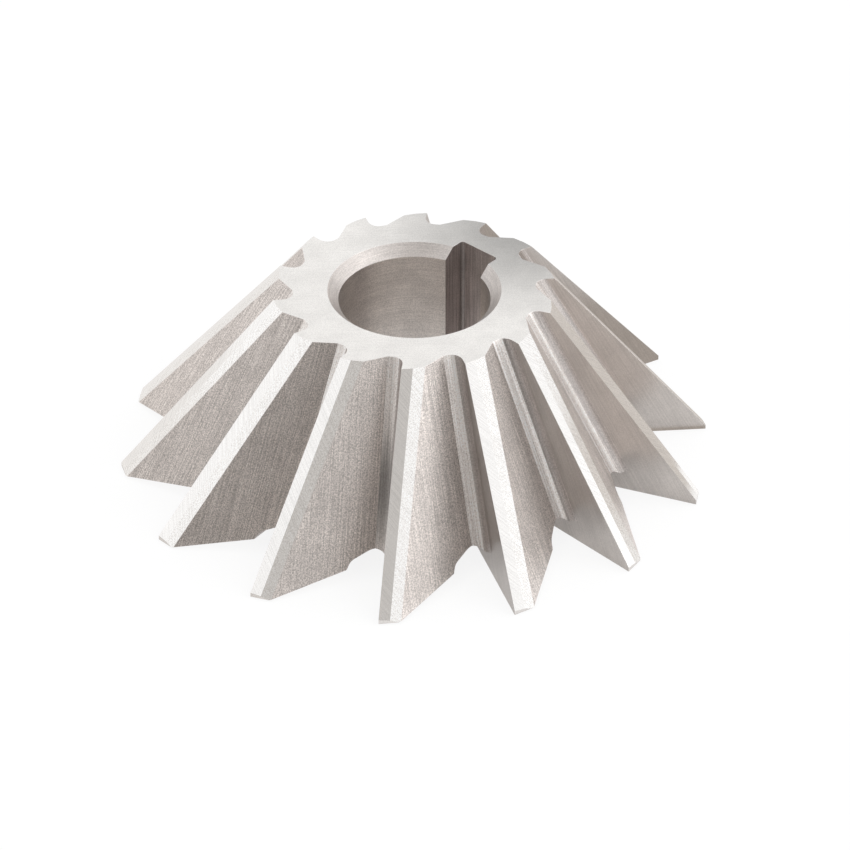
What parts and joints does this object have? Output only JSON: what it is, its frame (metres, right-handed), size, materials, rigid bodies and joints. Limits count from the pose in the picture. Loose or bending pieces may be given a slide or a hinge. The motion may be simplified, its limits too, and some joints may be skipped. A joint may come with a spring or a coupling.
{
  "type": "single angle milling cutter",
  "caption": "Conical single angle milling cutter with straight ground teeth on its cone and large face, a keyed bore and a turned relief groove.",
  "frame": {"origin": "on the bore's axis, in the plane of the end cutting edges and of the hub's clamping face", "axes": "+Z along the bore toward the small end, +X through the middle of the keyway, +Y completes a right-handed frame"},
  "size_m": [0.062, 0.063, 0.0203],
  "materials": {
    "cutter_steel": "ground lands and faces, milled gullets"
  },
  "bodies": {
    "root": {"angle_cutter": "cutter_steel"}
  },
  "joints": []
}
